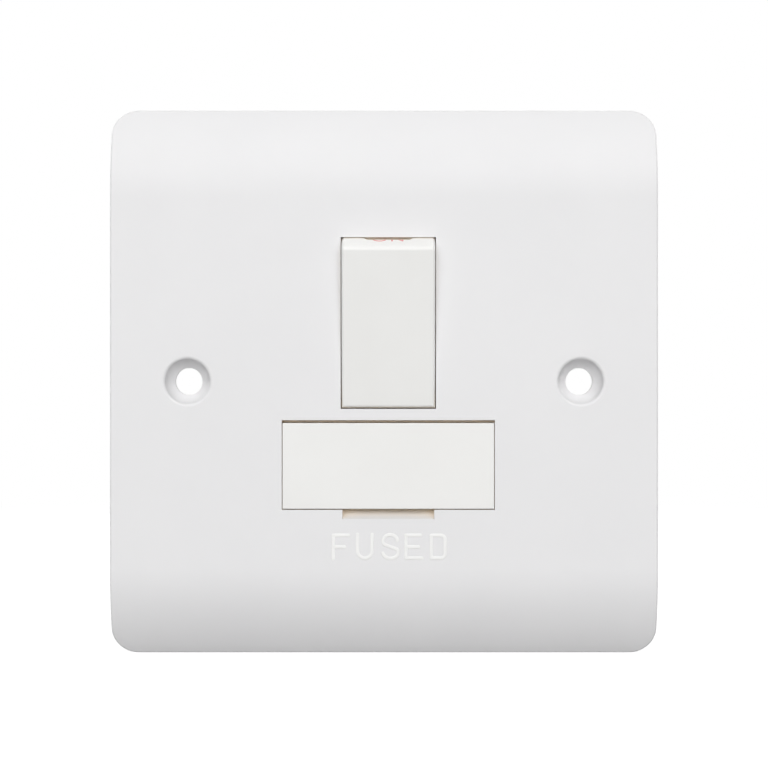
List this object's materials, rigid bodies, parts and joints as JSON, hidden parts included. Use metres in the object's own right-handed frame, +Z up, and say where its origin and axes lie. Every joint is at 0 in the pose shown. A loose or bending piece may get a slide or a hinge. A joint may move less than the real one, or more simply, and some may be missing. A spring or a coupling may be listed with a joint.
{
  "type": "switched fused connection unit",
  "caption": "White square wall plate with a rocker switch above a slide-out fuse drawer, backed by a moulded terminal housing, that feeds a fixed appliance.",
  "frame": {"origin": "midway between the two fixing holes, on the wall plane", "axes": "+X right and +Z up as seen from the room, +Y into the wall"},
  "size_m": [0.084, 0.0327, 0.084],
  "materials": {
    "plate_white": "moulded white, lightly glossy, slightly cool",
    "control_white": "moulded white, slightly warmer than the plate",
    "housing_white": "moulded off-white, matt",
    "brass": "pressed or drawn brass",
    "silver": "silver contact metal",
    "plated_steel": "bright zinc plate",
    "nickel": "nickel-plated caps",
    "nylon": "natural nylon",
    "fuse_ceramic": "unglazed white ceramic"
  },
  "bodies": {
    "unit": {"front_plate": "plate_white", "rear_housing": "housing_white", "housing_screw_upper_left": "plated_steel", "housing_screw_upper_right": "plated_steel", "housing_screw_lower_left": "plated_steel", "housing_screw_lower_right": "plated_steel", "line_supply_strip": "brass", "neutral_supply_strip": "brass", "line_switch_strip": "brass", "neutral_switch_strip": "brass", "line_load_strip": "brass", "line_fixed_contact": "silver", "neutral_fixed_contact": "silver", "fuse_clip_switched": "brass", "fuse_clip_load": "brass", "line_supply_terminal": "brass", "neutral_supply_terminal": "brass", "earth_terminal": "brass", "line_load_terminal": "brass", "neutral_load_terminal": "brass", "line_supply_screw": "brass", "neutral_supply_screw": "brass", "earth_screw_left": "brass", "earth_screw_right": "brass", "line_load_screw": "brass", "neutral_load_screw": "brass"},
    "rocker": {"rocker": "control_white", "line_plunger_spring": "plated_steel", "neutral_plunger_spring": "plated_steel"},
    "line_plunger": {"line_plunger": "nylon"},
    "neutral_plunger": {"neutral_plunger": "nylon"},
    "line_arm": {"line_contact_arm": "brass", "line_moving_contact": "silver"},
    "neutral_arm": {"neutral_contact_arm": "brass", "neutral_moving_contact": "silver"},
    "carrier": {"fuse_carrier": "control_white", "fuse_tube": "fuse_ceramic", "fuse_cap_left": "nickel", "fuse_cap_right": "nickel"}
  },
  "joints": [
    {"name": "rocker_tilt", "type": "hinge", "parent": "unit", "child": "rocker", "pos_m": [0.00066, -0.00351, 0.00896], "axis": [-1, 0, 0], "range_deg": [0, 11.6]},
    {"name": "carrier_slide", "type": "slide", "parent": "unit", "child": "carrier", "axis": [0, -1, 0], "range_m": [0, 0.015]},
    {"name": "line_arm_swing", "type": "hinge", "parent": "unit", "child": "line_arm", "pos_m": [0.00416, 0.00879, 0.00896], "axis": [1, 0, 0], "range_deg": [0, 22]},
    {"name": "neutral_arm_swing", "type": "hinge", "parent": "unit", "child": "neutral_arm", "pos_m": [-0.00284, 0.00879, 0.00896], "axis": [1, 0, 0], "range_deg": [0, 22]},
    {"name": "line_plunger_slide", "type": "slide", "parent": "rocker", "child": "line_plunger", "axis": [0, -0.9949, -0.1011], "range_m": [0, 0.0005], "stiffness_N_per_m": 300, "springref_m": -0.001, "deforming": ["line_plunger_spring"]},
    {"name": "neutral_plunger_slide", "type": "slide", "parent": "rocker", "child": "neutral_plunger", "axis": [0, -0.9949, -0.1011], "range_m": [0, 0.0005], "stiffness_N_per_m": 300, "springref_m": -0.001, "deforming": ["neutral_plunger_spring"]}
  ],
  "couplings": [
    {"joint": "line_arm_swing", "follows": "rocker_tilt", "ratio": 1.8965},
    {"joint": "neutral_arm_swing", "follows": "rocker_tilt", "ratio": 1.8965}
  ]
}
